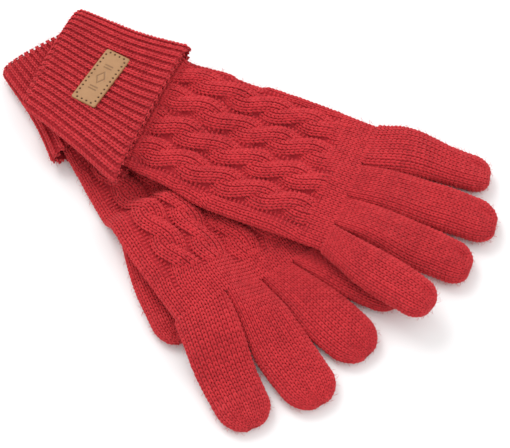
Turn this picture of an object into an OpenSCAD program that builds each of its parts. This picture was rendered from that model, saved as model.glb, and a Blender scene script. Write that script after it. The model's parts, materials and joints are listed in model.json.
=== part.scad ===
// A pair of knitted touchscreen gloves with turned-back cuffs, laid flat with one glove over the other.
// Every glove is drawn in its own frame: x runs from the wrist to the fingers, y to the thumb side, z up.
// The upper glove is a right hand along +X; the lower one is a left hand turned away from it.
// The origin is on the table, under the lower palm.

/* [Hand] */
// Width of the upper hand across the knuckles
upper_hand_w = 80; // [78:1:84]
// Width of the lower hand, which lies flatter
lower_hand_w = 84; // [82:1:88]
// Length from the wrist to the finger roots
hand_len = 108; // [106:1:112]
// Height of the flattened hand
hand_h = 9.5; // [9:0.1:10]
// Thickness of the knitted fabric
wall = 2.2; // [1.8:0.1:2.3]

/* [Fingers] */
// Lengths of the index, middle, ring and little finger of the upper glove
upper_lens = [64, 75.5, 71, 63.6];
// Lengths of the same fingers of the lower glove
lower_lens = [64.6, 71.5, 63.8, 53];
// How far each upper finger bows towards the thumb side halfway along
upper_bows = [2.4, 2.8, 1.5, 0];
// Share of the hand's width that each finger is knitted on to
root_shares = [0.34, 0.245, 0.215, 0.2];
// How far each upper finger turns towards the thumb side, in degrees
upper_turns = [11.8, 8.2, 0.6, -15];
// The same for the lower glove
lower_turns = [9, 1, -12.4, -28.6];
// Widest part of each upper finger
upper_widths = [21, 25, 24.5, 22];
// Widest part of each lower finger
lower_widths = [27.5, 29, 28, 22.5];
// Height of the upper fingers, which are the rounder ones
upper_finger_h = 12; // [10:0.5:13]
// Height of the lower fingers
lower_finger_h = 9.4; // [9:0.1:9.8]
// Length of the conductive tip on the thumb and index finger
tip_len = 20; // [16:1:24]

/* [Thumbs] */
// Length of a thumb beyond its seam
thumb_len = 68; // [60:1:70]
// Widest part of a thumb
thumb_w = 27; // [24:1:28]
// Height of a thumb, folded flat under the palm
thumb_h = 8.6; // [8:0.1:8.8]

/* [Cuffs] */
// Height of the turned-back part
cuff_len = 62; // [50:1:66]
// Width of the upper cuff at its folded end
upper_fold_w = 67; // [62:1:72]
// Width of the lower cuff at its folded end
lower_fold_w = 61.5; // [58:0.5:66]
// Width of the cuff at its free edge
free_w = 84; // [80:1:88]
// How far the lower cuff has slipped towards the arm
lower_slip = 8; // [4:1:9]

/* [Label] */
// Length of the leather label, across the ribs
label_l = 34; // [30:1:40]
// Width of the leather label
label_w = 14; // [11:1:15]
// Thickness of the leather
label_t = 1.3; // [1:0.1:1.6]

/* [Layout] */
// Angle between the two gloves
fan = 34; // [33:1:35]
// How high the upper glove lies over the lower cuff
over_cuff = 15; // [14.5:0.5:18]
// How high the upper hand lies over the lower hand
over_hand = 11.2; // [11:0.1:13]

/* [Hidden] */

// The two gloves, used as an index into the lists below
UPPER = 0;
LOWER = 1;
// The digits, used as an index into the lists of lengths, turns and widths
INDEX = 0;
MIDDLE = 1;
RING = 2;
LITTLE = 3;

red = "#b3202c";
dark_red = "#9c1a26";
tan_leather = "#c49a6c";
thread = "#3b1d14";

// Wrist of each glove on the table
wrist_at = [[-7.2, 19], [-16.6, 11.2]];
hand_w = [upper_hand_w, lower_hand_w];
// The lower palm is a little off its finger line
hand_y = [0, -2];
// The hand narrows towards the wrist by this much
wrist_taper = 9;
lens = [upper_lens, lower_lens];
turns = [upper_turns, lower_turns];
widths = [upper_widths, lower_widths];
bows = [upper_bows, [0, 0, 0, 0]];
finger_h = [upper_finger_h, lower_finger_h];
// Gap at a seam between two bodies
seam = 0.3;

// Thumb seam in each glove's frame, and the way the thumb points
thumb_at = [[50, 20], [50, 25]];
thumb_turn = [1, 12];

// Middle of each cuff at its folded and its free end
cuff_fold_y = [9, 6.7];
cuff_free_y = [-2.5, -2];
cuff_slip = [0, lower_slip];
// Space between the layers of a turned cuff
layer_gap = 0.2;
cuff_h = hand_h + 2 * (wall + layer_gap);

label_at = [-29.2, 2.7];
label_turn = -7;

// Points around a ring, and rings along a rounded tip
ring_n = 28;
tip_n = 5;

// A smooth step from 0 to 1
function ease(t) = let (c = max(0, min(1, t))) c * c * (3 - 2 * c);
function mix(a, b, t) = a + (b - a) * t;

// How high the underside of a hand lies at a point of the glove's frame
function lower_rest(x, y) =
    (thumb_h + 0.7) * ease((x - 37) / 12) * (1 - ease((x - hand_len - 10) / 28)) * ease((y + 10) / 22);
function drop_start(y) = hand_len + 8 + 70 * ease((-22 - y) / 14);
function upper_rest(x, y) =
    mix(over_cuff, over_hand, ease((x - 20) / 24)) * (1 - ease((x - drop_start(y)) / 34));
function in_cuff(g, x) = (wall + layer_gap) * (1 - ease((x + cuff_slip[g]) / 10));
function rest(g, x, y) = in_cuff(g, x) + (g == UPPER ? upper_rest(x, y) : lower_rest(x, y));
// The thumb gusset hangs down from the upper palm to meet the thumb
function gusset(g, x, y) =
    g == UPPER ? 8.6 * ease((x - 27) / 7) * (1 - ease((x - 42) / 6)) * ease((y - 20) / 6) : 0;

// The flattened outline of a tube: across from -1 to 1, and up from 0 to 1 with a flat top and bottom
function across(i) = let (c = cos(360 * i / ring_n)) sign(c) * pow(abs(c), 0.65);
function up(i) = let (s = sin(360 * i / ring_n)) max(0, min(1, 0.5 + 0.56 * sign(s) * pow(abs(s), 0.8)));

// Half the hand's width at x
function half_hand(g, x) = hand_w[g] / 2 - wrist_taper / 2 * (1 - ease((x + 5) / 50));

// One ring of the hand, with inset 0 for the outside and the wall's thickness for the inside
function hand_ring(g, x, inset) = [
    for (i = [0 : ring_n - 1])
        let (
            y = hand_y[g] + (half_hand(g, x) - inset) * across(i),
            low = rest(g, x, y) - gusset(g, x, y) + inset,
            high = rest(g, x, y) + hand_h - inset
        )
        [x, y, mix(low, high, up(i))]
];

// The upper index finger is set this far back from the middle one, so that it clears it as it bends
index_clear = 1.3;

// A digit is [glove, root x, root y, turn, length, root width, widest, root height, height, on the table, bow]
function digit(g, k) = [
    g, hand_len + seam, finger_root_y(g, k) + root_clear(g, k) / 2, turns[g][k], lens[g][k],
    hand_w[g] * root_shares[k] - seam * 1.5 - root_clear(g, k), widths[g][k], hand_h, finger_h[g], false, bows[g][k]
];
function thumb(g) = [
    g, thumb_at[g][0], thumb_at[g][1], thumb_turn[g], thumb_len, 23, thumb_w, thumb_h, thumb_h, true, 0
];
function root_clear(g, k) = g == UPPER && k == INDEX ? index_clear : 0;
function share_before(k) = k == 0 ? 0 : share_before(k - 1) + root_shares[k - 1];
function finger_root_y(g, k) = hand_y[g] + hand_w[g] * (0.5 - share_before(k) - root_shares[k] / 2);

// Half width, height and place of a digit's ring at a distance s from its root
function digit_round(d, s) =
    let (r = d[6] / 2, q = max(0, (s - (d[4] - r)) / r)) sqrt(max(0.02, 1 - q * q));
function digit_half(d, s) = mix(d[5], d[6], ease(s / (0.68 * d[4]))) / 2 * digit_round(d, s);
function digit_high(d, s) = mix(d[7], d[8], ease(s / (0.4 * d[4]))) * mix(1, digit_round(d, s), 0.72);
function digit_x(d, s) = d[1] + s * cos(d[3]);
function digit_y(d, s) = d[2] + s * sin(d[3]) + d[10] * pow(sin(180 * s / d[4]), 2);

function digit_ring(d, s, inset) =
    let (
        half = max(0.6, digit_half(d, s) - inset),
        high = max(0.8, digit_high(d, s) - 2 * inset),
        // The first rings lie along the knuckles, the later ones square to the finger
        square = ease(s / 25)
    )
    [
        for (i = [0 : ring_n - 1])
            let (
                x = digit_x(d, s) - half * across(i) * sin(d[3]) * square,
                y = digit_y(d, s) + half * across(i) * mix(1, cos(d[3]), square),
                base = d[9] ? 0 : mix(rest(d[0], x, y), rest(d[0], digit_x(d, s), digit_y(d, s)), square)
            )
            [x, y, base + inset + high * up(i)]
    ];

// Distances of a digit's rings between two places, close together on the rounded end
function body_stops(from, to, n) = [for (i = [0 : n]) mix(from, to, i / n)];
function round_stops(d, shrink) =
    let (r = d[6] / 2)
    [for (i = [1 : tip_n]) d[4] - r + (r - shrink) * sin(86 * i / tip_n)];

// Faces between a chain of rings; the chain is closed into a loop or capped at both ends
function band(n, rings) = [
    for (j = [0 : rings - 1], i = [0 : n - 1], half = [0, 1])
        let (a = j * n + i, b = j * n + (i + 1) % n, c = (j + 1) * n + i, e = (j + 1) * n + (i + 1) % n)
        half == 0 ? [a, b, e] : [a, e, c]
];
function wrap(faces, total) = [for (f = faces) [for (v = f) v % total]];
function flat(rings) = [for (r = rings, p = r) p];

module looped(rings) {
    n = len(rings[0]);
    m = len(rings);
    polyhedron(points = flat(rings), faces = wrap(band(n, m), n * m));
}

module capped(rings) {
    n = len(rings[0]);
    m = len(rings);
    polyhedron(
        points = flat(rings),
        faces = concat(
            band(n, m - 1),
            [[for (i = [n - 1 : -1 : 0]) i]],
            [[for (i = [0 : n - 1]) (m - 1) * n + i]]
        )
    );
}

// Puts a glove's own frame on the table
module place(g) {
    translate([wrist_at[g][0], wrist_at[g][1], 0])
        rotate(g == UPPER ? 0 : -fan)
            mirror([0, g == UPPER ? 0 : 1, 0])
                children();
}

// The tube of the palm and the back of the hand, open at the wrist and at the knuckles
module hand(g) {
    // A ring stands at the cuff's free edge, so that the hand only drops once it is out of the cuff
    edge = 1 - cuff_slip[g];
    stops = concat(
        [edge - 7, edge, (edge + 6) / 2, 6, 12, 20, 27, 31, 35, 39, 43, 47, 51, 58, 70, 84, 97],
        [hand_len]
    );
    outside = [for (x = stops) hand_ring(g, x, 0)];
    inside = [for (i = [len(stops) - 1 : -1 : 0]) hand_ring(g, stops[i], wall)];
    color(red) place(g) difference() {
        looped(concat(outside, inside));
        thumb_hole(g);
    }
}

// The hole in the palm that the thumb is knitted on to
module thumb_hole(g) {
    hole_w = 13;
    hole_h = 5;
    translate([thumb_at[g][0] - 9, thumb_at[g][1] + (g == UPPER ? 1 : -hole_w / 2), 2.2])
        cube([9, hole_w, hole_h]);
}

// Half width and middle of the cuff at a share t of its length from the fold
function cuff_half(g, t) = mix(g == UPPER ? upper_fold_w : lower_fold_w, free_w, t) / 2;
function cuff_mid(g, t) = mix(cuff_fold_y[g], cuff_free_y[g], t);
function cuff_x(g, t) = -cuff_slip[g] - cuff_len * (1 - t) + 1;
function cuff_ring(g, t, inset, dx = 0) = [
    for (i = [0 : ring_n - 1])
        let (
            x = cuff_x(g, t) + dx,
            base = g == UPPER ? over_cuff : 0
        )
        [
            x,
            cuff_mid(g, t) + (cuff_half(g, t) - inset) * across(i),
            base + inset + (cuff_h - 2 * inset) * up(i)
        ]
];

// The inner layer of the ribbed cuff, from the hand back to the fold
module wrist_rib(g) {
    inner = 2 * wall + layer_gap;
    outer = wall + layer_gap;
    last = (cuff_len - 7.4) / cuff_len;
    stops = [0.045, 0.3, 0.6, last];
    outside = [for (t = stops) cuff_ring(g, t, outer + t * 2)];
    inside = [for (i = [len(stops) - 1 : -1 : 0]) cuff_ring(g, stops[i], inner + stops[i] * 2)];
    color(dark_red) place(g) looped(concat(outside, inside));
}

// The outer layer, turned back over the inner one, with the rounded fold between them
module turned_cuff(g) {
    inner = 2 * wall + layer_gap;
    stops = [1, 0.8, 0.6, 0.4, 0.2, 0.06];
    outside = [for (t = stops) cuff_ring(g, t, 0)];
    fold = [
        cuff_ring(g, 0, 0.5, 0.8),
        cuff_ring(g, 0, 1.6),
        cuff_ring(g, 0, inner - 1),
        cuff_ring(g, 0, inner, 1),
        cuff_ring(g, 0.04, inner),
        cuff_ring(g, 0.04, wall)
    ];
    inside = [for (t = [0.2, 0.4, 0.6, 0.8, 1]) cuff_ring(g, t, wall)];
    color(red) place(g) looped(concat(outside, fold, inside));
}

// A digit that ends in its own rounded tip
module whole_digit(d) {
    stops = body_stops(0, d[4] - d[6] / 2, 7);
    outside = [for (s = concat(stops, round_stops(d, 0))) digit_ring(d, s, 0)];
    within = concat(stops, round_stops(d, wall));
    inside = [for (i = [len(within) - 1 : -1 : 0]) digit_ring(d, within[i], wall)];
    color(red) place(d[0]) capped(concat(inside, outside));
}

// A digit up to its conductive tip, open at both ends
module digit_stem(d) {
    stops = body_stops(0, d[4] - tip_len, 7);
    outside = [for (s = stops) digit_ring(d, s, 0)];
    inside = [for (i = [len(stops) - 1 : -1 : 0]) digit_ring(d, stops[i], wall)];
    color(red) place(d[0]) looped(concat(outside, inside));
}

// The cap knitted with conductive yarn
module touch_tip(d) {
    start = d[4] - tip_len;
    stops = body_stops(start, max(start + 1, d[4] - d[6] / 2), 2);
    outside = [for (s = concat(stops, round_stops(d, 0))) digit_ring(d, s, 0)];
    within = concat(stops, round_stops(d, wall));
    inside = [for (i = [len(within) - 1 : -1 : 0]) digit_ring(d, within[i], wall)];
    color(dark_red) place(d[0]) capped(concat(inside, outside));
}

label_z = over_cuff + cuff_h;
// Stitch holes run round the label this far inside its edge
stitch_in = 1.5;
stitch_step = 2.7;
stitch_l = 1.3;
stitch_w = 0.7;

// Lifts a shape on to the top of the upper cuff, with x along the glove
module on_cuff() {
    place(UPPER)
        translate([label_at[0], label_at[1], label_z])
            rotate(label_turn)
                children();
}

module label_patch() {
    corner = 1.2;
    color(tan_leather) on_cuff()
        linear_extrude(label_t)
            union() {
                square([label_w - 2 * corner, label_l], center = true);
                square([label_w, label_l - 2 * corner], center = true);
                for (x = [-1, 1], y = [-1, 1])
                    translate([x * (label_w / 2 - corner), y * (label_l / 2 - corner)])
                        circle(corner, $fn = 24);
            }
}

// One stitch of the seam, lying on the leather
module stitch(x, y, turned) {
    translate([x, y, label_t + stitch_w / 4])
        rotate(turned ? 90 : 0)
            cube([stitch_w, stitch_l, stitch_w / 2], center = true);
}

module label_stitches() {
    long_n = floor((label_l - 2 * stitch_in) / stitch_step);
    short_n = floor((label_w - 2 * stitch_in) / stitch_step);
    color(thread) on_cuff() {
        for (side = [-1, 1], i = [0 : long_n - 1])
            stitch(side * (label_w / 2 - stitch_in), (i - (long_n - 1) / 2) * stitch_step, false);
        for (side = [-1, 1], i = [0 : short_n - 1])
            stitch((i - (short_n - 1) / 2) * stitch_step, side * (label_l / 2 - stitch_in), true);
    }
}

module upper_hand() { hand(UPPER); }
module upper_wrist_rib() { wrist_rib(UPPER); }
module upper_turned_cuff() { turned_cuff(UPPER); }
module upper_thumb() { digit_stem(thumb(UPPER)); }
module upper_thumb_touch_tip() { touch_tip(thumb(UPPER)); }
module upper_index_finger() { digit_stem(digit(UPPER, INDEX)); }
module upper_index_touch_tip() { touch_tip(digit(UPPER, INDEX)); }
module upper_middle_finger() { whole_digit(digit(UPPER, MIDDLE)); }
module upper_ring_finger() { whole_digit(digit(UPPER, RING)); }
module upper_little_finger() { whole_digit(digit(UPPER, LITTLE)); }
module upper_label() { label_patch(); }
module upper_label_stitches() { label_stitches(); }
module lower_hand() { hand(LOWER); }
module lower_wrist_rib() { wrist_rib(LOWER); }
module lower_turned_cuff() { turned_cuff(LOWER); }
module lower_thumb() { digit_stem(thumb(LOWER)); }
module lower_thumb_touch_tip() { touch_tip(thumb(LOWER)); }
module lower_index_finger() { digit_stem(digit(LOWER, INDEX)); }
module lower_index_touch_tip() { touch_tip(digit(LOWER, INDEX)); }
module lower_middle_finger() { whole_digit(digit(LOWER, MIDDLE)); }
module lower_ring_finger() { whole_digit(digit(LOWER, RING)); }
module lower_little_finger() { whole_digit(digit(LOWER, LITTLE)); }

upper_hand();
upper_wrist_rib();
upper_turned_cuff();
upper_thumb();
upper_thumb_touch_tip();
upper_index_finger();
upper_index_touch_tip();
upper_middle_finger();
upper_ring_finger();
upper_little_finger();
upper_label();
upper_label_stitches();
lower_hand();
lower_wrist_rib();
lower_turned_cuff();
lower_thumb();
lower_thumb_touch_tip();
lower_index_finger();
lower_index_touch_tip();
lower_middle_finger();
lower_ring_finger();
lower_little_finger();
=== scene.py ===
# %% [markdown]
# # A pair of knitted touchscreen gloves
# Two wool gloves lie flat, the right one over the left. Each is a set of knitted tubes: a hand with four
# ropes of cable on its back, four fingers, a thumb, and a ribbed cuff turned back on itself. The pieces
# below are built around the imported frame, which fixes their places, their sizes and the way they move.

# %% Load the frame
import json
import math

import bpy
import numpy as np
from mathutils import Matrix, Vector


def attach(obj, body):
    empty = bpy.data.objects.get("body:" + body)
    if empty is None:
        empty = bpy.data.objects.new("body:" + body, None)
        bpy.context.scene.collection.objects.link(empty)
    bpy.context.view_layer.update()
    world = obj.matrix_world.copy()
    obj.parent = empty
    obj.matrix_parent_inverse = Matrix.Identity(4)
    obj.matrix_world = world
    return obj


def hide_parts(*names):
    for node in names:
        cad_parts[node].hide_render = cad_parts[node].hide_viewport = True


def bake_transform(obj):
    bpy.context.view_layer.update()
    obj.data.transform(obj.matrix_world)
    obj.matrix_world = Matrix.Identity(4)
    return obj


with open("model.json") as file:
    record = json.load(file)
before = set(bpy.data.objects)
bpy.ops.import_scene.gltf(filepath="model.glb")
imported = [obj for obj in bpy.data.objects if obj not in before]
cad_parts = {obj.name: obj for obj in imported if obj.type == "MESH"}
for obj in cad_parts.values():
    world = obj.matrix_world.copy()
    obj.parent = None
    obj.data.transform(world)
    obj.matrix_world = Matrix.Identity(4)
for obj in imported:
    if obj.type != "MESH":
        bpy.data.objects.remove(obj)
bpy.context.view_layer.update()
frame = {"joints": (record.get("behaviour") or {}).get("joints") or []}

# %% [markdown]
# ## Two rules used everywhere
# Blender works in metres, but knitting is easier to think about in millimetres, so every shape below is
# worked out in millimetres and turned to metres only when it becomes a mesh. A smooth step is the second
# rule: cloth has no sharp corners, so wherever one height or width gives way to another, it is eased.

# %% Millimetres and smooth steps
MM = 0.001


def ease(t):
    t = np.clip(t, 0.0, 1.0)
    return t * t * (3.0 - 2.0 * t)


def mix(a, b, t):
    return a + (b - a) * t


print("eased at a quarter, a half and the end:", [float(ease(t)) for t in (0.25, 0.5, 1.0)])

# %% [markdown]
# ## Where each glove lies
# A glove is drawn in its own frame: x from the wrist to the fingers, y to the thumb side, z up. The frame's
# finger joints say where that is. A bend joint's axis lies across the knuckles, so turning it by a quarter
# gives the way the fingers point. The left glove is the right one mirrored, which only swaps its y.

# %% Each glove's frame, from its index finger joint
HAND_LEN = 108.0
SEAM_GAP = 0.15
GLOVES = {
    "upper": {"hand_w": 80.0, "hand_y": 0.0, "side": 1.0},
    "lower": {"hand_w": 84.0, "hand_y": -2.0, "side": -1.0},
}
ROOT_SHARES = [0.34, 0.245, 0.215, 0.2]
joints = {j["name"]: j for j in frame["joints"]}
for g, glove in GLOVES.items():
    hinge = joints[f"{g}_index_bend"]
    across_axis = Vector(hinge["axis"])
    ahead = Vector((-across_axis.y, across_axis.x, 0.0)).normalized()
    thumb_side = Vector((-ahead.y, ahead.x, 0.0)) * glove["side"]
    index_y = glove["hand_y"] + glove["hand_w"] * (0.5 - ROOT_SHARES[0] / 2)
    wrist = Vector(hinge["pos_m"]) / MM - ahead * (HAND_LEN + SEAM_GAP) - thumb_side * index_y
    wrist.z = 0.0
    glove["axes"] = np.array([ahead, thumb_side, (0, 0, 1)], float)
    glove["wrist"] = np.array(wrist, float)
    print(g, "wrist at", [round(v, 1) for v in wrist], "points", [round(v, 2) for v in ahead])


def to_row(g, points):
    """Turns points of a glove's own frame, in mm, into the shared frame, in metres."""
    return (GLOVES[g]["wrist"] + points @ GLOVES[g]["axes"]) * MM


def turn_only(g, vectors):
    return vectors @ GLOVES[g]["axes"]


# %% [markdown]
# ## How the gloves drape
# The thumbs are folded under the palms, and the right glove lies on the left one, so the undersides rise
# and fall. One height rule for each glove gives the underside at any point, and every tube is stood on it.
# The same rule serves the hand and the fingers, so they meet without a step.

# %% Heights of the undersides
THUMB_H = 8.6
HAND_H = 9.5
WALL = 2.2
OVER_CUFF = 15.0
OVER_HAND = 11.2
CUFF_SLIP = {"upper": 0.0, "lower": 8.0}


def rest_height(g, x, y):
    in_cuff = (WALL + 0.2) * (1 - ease((x + CUFF_SLIP[g]) / 10))
    if g == "lower":
        over_thumb = ease((x - 37) / 12) * (1 - ease((x - HAND_LEN - 10) / 28))
        return in_cuff + (THUMB_H + 0.7) * over_thumb * ease((y + 10) / 22)
    drop = HAND_LEN + 8 + 70 * ease((-22 - y) / 14)
    level = mix(OVER_CUFF, OVER_HAND, ease((x - 20) / 24))
    return in_cuff + level * (1 - ease((x - drop) / 34))


def gusset_drop(g, x, y):
    """The upper palm hangs down beside the thumb that is knitted on to it."""
    if g == "lower":
        return np.zeros_like(x)
    return 8.6 * ease((x - 27) / 7) * (1 - ease((x - 42) / 6)) * ease((y - 20) / 6)


print("the upper hand lies", float(rest_height("upper", 60.0, 0.0)), "mm above the floor")

# %% [markdown]
# ## A flattened tube
# Laid flat, a knitted tube is neither round nor a box: its top and bottom are nearly flat and its sides
# are round. A circle whose cosine and sine are raised to a small power gives that outline. The stitches
# of a round of knitting are all as wide as each other, so a ring is then cut into equal lengths.

# %% Outline and equal stitches
RING_START = -math.pi / 2
DENSE = np.linspace(RING_START, RING_START + 2 * math.pi, 257)[:-1]


def signed_power(v, p):
    return np.sign(v) * np.abs(v) ** p


def across(theta, p=0.65):
    return signed_power(np.cos(theta), p)


def up(theta, p=0.8, spread=0.56):
    return np.clip(0.5 + spread * signed_power(np.sin(theta), p), 0.0, 1.0)


def ring_at(points, shares):
    """Points at the given shares of the length round a closed ring."""
    loop = np.vstack([points, points[:1]])
    run = np.concatenate([[0.0], np.cumsum(np.linalg.norm(np.diff(loop, axis=0), axis=1))])
    return np.stack([np.interp(shares * run[-1], run, loop[:, k]) for k in range(3)], axis=1)


def even_ring(points, n):
    return ring_at(points, np.arange(n) / n)


def sweep(ring, stops, n):
    """A grid of rings, one for each stop: shape (stops, n, 3)."""
    return np.array([even_ring(ring(s), n) for s in stops])


def soften(points):
    """Slow hollows and swells, a fraction of a millimetre deep, that no pressed-flat shape would have."""
    x, y = points[..., 0], points[..., 1]
    swell = np.sin(x / 13.0 + 0.6) * np.sin(y / 9.0 + 1.1) + 0.6 * np.sin(x / 7.1 - y / 8.3)
    sway = np.sin(x / 11.0 + y / 37.0 + 0.4)
    return points + np.stack([0 * x, 0.45 * sway, 0.5 * swell], axis=-1)


print("a ring is first drawn with", len(DENSE), "points")

# %% [markdown]
# ## A mesh from rings
# A chain of rings makes the skin of a tube. A hand is open at both ends, so its outer and inner skins are
# joined into one closed loop. A finger is closed at its tip, so its chain runs from the tip inside to the
# tip outside, with a cap at each. If the volume comes out negative, the faces point inwards and are turned.

# %% Skins
RELIEF = 1.2
SKIN_T = 1.4


def skin_faces(rings, n, closed):
    j, i = np.meshgrid(np.arange(rings if closed else rings - 1), np.arange(n), indexing="ij")
    a = j * n + i
    b = j * n + (i + 1) % n
    c = ((j + 1) % rings) * n + (i + 1) % n
    d = ((j + 1) % rings) * n + i
    return np.stack([a, b, c, d], axis=-1).reshape(-1, 4)


def signed_volume(points, faces):
    p = points[faces]
    first = np.einsum("ij,ij->i", p[:, 0], np.cross(p[:, 1], p[:, 2]))
    second = np.einsum("ij,ij->i", p[:, 0], np.cross(p[:, 2], p[:, 3]))
    return (first.sum() + second.sum()) / 6


def skin_mesh(name, g, rings, closed, outer):
    """A closed mesh from (rings, n, 3) points; outer marks the rings that show, where fuzz may grow."""
    count, n = rings.shape[:2]
    points = to_row(g, soften(rings.reshape(-1, 3)))
    faces = skin_faces(count, n, closed)
    face_outer = np.repeat(np.asarray(outer[: len(faces) // n], float), n)
    faces = [list(map(int, f)) for f in faces]
    turned = signed_volume(points, np.array(faces)) < 0
    if not closed:
        faces.append([int(i) for i in range(n)][::-1])
        faces.append([int((count - 1) * n + i) for i in range(n)])
        face_outer = np.append(face_outer, [0.0, 0.0])
    if turned:
        faces = [f[::-1] for f in faces]
    mesh = bpy.data.meshes.new(name)
    mesh.from_pydata([tuple(p) for p in points], [], faces)
    mesh.attributes.new("outer", "FLOAT", "FACE").data.foreach_set("value", face_outer.astype(np.float32))
    mesh.polygons.foreach_set("use_smooth", [True] * len(mesh.polygons))
    return mesh


print("ten rings of twelve points make", len(skin_faces(10, 12, False)), "faces")

# %% [markdown]
# ## Where the stitches sit
# A grid with one cell for each stitch says all that a stitch needs: where it is, which way its column runs,
# which way is out, and how wide and tall it is. Those are kept as arrays here and become the attributes of
# a cloud of points. The kind is 0 for a knit stitch, which shows as a V, and 1 for a purl, which is a bump.

# %% Stitches from a grid
KNIT, PURL = 0, 1
WALE = 2.7
COURSE = 2.1
chance = np.random.default_rng(20)


def unit(v):
    return v / np.maximum(np.linalg.norm(v, axis=-1, keepdims=True), 1e-9)


def join_stitches(*sets):
    return {key: np.concatenate([s[key] for s in sets]) for key in sets[0]}


def flat(grid):
    """A grid of vectors as one long list of vectors."""
    return grid.reshape(-1, grid.shape[-1])


def grid_stitches(grid, flip=False):
    """One knit stitch for each cell of a grid of rings; flip is for rings that run the other way."""
    ahead_grid = soften(grid)
    nxt = np.roll(ahead_grid, -1, axis=1)
    a, b = ahead_grid[:-1], nxt[:-1]
    c, d = nxt[1:], ahead_grid[1:]
    centre = (a + b + c + d) / 4
    along = (d + c - a - b) / 2
    round_way = (b + c - a - d) / 2
    out = np.cross(round_way, along)
    if flip:
        out = -out
    width = np.linalg.norm(round_way, axis=-1)
    height = np.linalg.norm(along, axis=-1)
    size = np.stack([width, height, np.minimum(width, WALE)], axis=-1)
    return {"at": flat(centre), "along": flat(unit(along)), "out": flat(unit(out)), "size": flat(size),
            "kind": np.full(width.size, KNIT)}


def keep(stitches, mask):
    return {key: value[mask] for key, value in stitches.items()}


print("a hand is about", round(2 * (GLOVES["upper"]["hand_w"] + HAND_H) / WALE), "stitches round")

# %% [markdown]
# ## One knit stitch, one purl bump and one hair
# A knit stitch is a loop whose two legs lean apart, so it shows as a V. Each leg here is a short strand
# with five sides that is thick in its middle and dips at its ends, where it goes behind its neighbours.
# There are over twenty thousand, so each has only a few dozen faces. A purl bump is one such strand laid
# across the column. The halo of loose wool is made of single curved hairs.

# %% Strand shapes
STRAND_SIDES = 5


def strand(centres, radii, lean):
    """A five-sided strand through centres; radii are (across, up) pairs, and both ends come to a point."""
    verts = [centres[0]]
    uvs = [(0.5, 0.0)]
    for k, (c, r) in enumerate(zip(centres[1:-1], radii)):
        for i in range(STRAND_SIDES):
            a = 2 * math.pi * i / STRAND_SIDES
            sideways = (lean[0] * math.cos(a) * r[0], lean[1] * math.cos(a) * r[0])
            verts.append((c[0] + sideways[0], c[1] + sideways[1], c[2] + math.sin(a) * r[1]))
            uvs.append((i / STRAND_SIDES, (k + 1) / (len(centres) - 1)))
    verts.append(centres[-1])
    uvs.append((0.5, 1.0))
    faces = []
    n = STRAND_SIDES
    bands = len(centres) - 3
    last = len(verts) - 1
    for i in range(n):
        faces.append((0, 1 + (i + 1) % n, 1 + i))
        faces.append((last, last - n + i, last - n + (i + 1) % n))
    for k in range(bands):
        for i in range(n):
            a, b = 1 + k * n + i, 1 + k * n + (i + 1) % n
            faces.append((a, b, b + n, a + n))
    return verts, faces, uvs


def shape_object(name, strands):
    verts, faces, uvs = [], [], []
    for v, f, u in strands:
        start = len(verts)
        verts += v
        uvs += u
        faces += [tuple(start + i for i in face) for face in f]
    mesh = bpy.data.meshes.new(name)
    mesh.from_pydata(verts, [], faces)
    layer = mesh.uv_layers.new(name="strand")
    for loop in mesh.loops:
        layer.data[loop.index].uv = uvs[loop.vertex_index]
    mesh.polygons.foreach_set("use_smooth", [True] * len(mesh.polygons))
    return bpy.data.objects.new(name, mesh)


def knit_leg(side):
    centres = [(side * 0.08, -0.80, -0.12), (side * 0.15, -0.42, 0.12), (side * 0.235, 0.0, 0.20),
               (side * 0.31, 0.42, 0.12), (side * 0.35, 0.76, -0.12)]
    radii = [(0.20, 0.19), (0.235, 0.21), (0.20, 0.19)]
    return strand(centres, radii, (1.0, -0.2 * side))


def purl_bar():
    centres = [(-0.66, 0.12, -0.14), (-0.32, 0.0, 0.08), (0.0, -0.06, 0.16), (0.32, 0.0, 0.08),
               (0.66, 0.12, -0.14)]
    radii = [(0.24, 0.19), (0.28, 0.22), (0.24, 0.19)]
    return strand(centres, radii, (0.0, 1.0))


knit_v = shape_object("knit_v", [knit_leg(-1), knit_leg(1)])
purl_bump = shape_object("purl_bump", [purl_bar()])
print("a knit stitch has", len(knit_v.data.polygons), "faces")


def hair_object():
    """A hair one unit long that rises and bends over, with three sides."""
    spine = [(0, 0, 0), (0.42, 0.06, 0.42), (1.0, -0.02, 0.55)]
    thick = [0.030, 0.024]
    verts = []
    for c, r in zip(spine, thick):
        for i in range(3):
            a = 2 * math.pi * i / 3
            verts.append((c[0] - r * math.sin(a) * 0.7, c[1] + r * math.cos(a), c[2] + r * math.sin(a) * 0.7))
    verts.append(spine[-1])
    faces = [(i, (i + 1) % 3, 3 + (i + 1) % 3, 3 + i) for i in range(3)]
    faces += [(3 + i, 3 + (i + 1) % 3, 6) for i in range(3)]
    faces.append((2, 1, 0))
    mesh = bpy.data.meshes.new("wool_hair")
    mesh.from_pydata(verts, [], faces)
    return bpy.data.objects.new("wool_hair", mesh)


wool_hair = hair_object()

# %% [markdown]
# ## Colours and a helper for nodes
# A hex colour is written the way a screen shows it, while a shader wants linear light, so one function
# turns one into the other. Another small function adds a node, sets it and links it in one line, and two
# shorter ones use it for sums and for mixing two colours.

# %% Colour and node helpers


def linear(hex_colour):
    channels = [int(hex_colour[i:i + 2], 16) / 255 for i in (1, 3, 5)]
    return tuple(c / 12.92 if c <= 0.04045 else ((c + 0.055) / 1.055) ** 2.4 for c in channels) + (1.0,)


def add(tree, kind, settings=None, inputs=None, **values):
    """Adds a node: settings are its properties, and each input is linked to a socket or set to a value."""
    node = tree.nodes.new(kind)
    for key, value in (settings or {}).items():
        setattr(node, key, value)
    for key, value in values.items():
        node.inputs[key.replace("_", " ")].default_value = value
    for key, value in (inputs or {}).items():
        if isinstance(value, bpy.types.NodeSocket):
            tree.links.new(value, node.inputs[key])
        else:
            node.inputs[key].default_value = value
    return node


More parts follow.
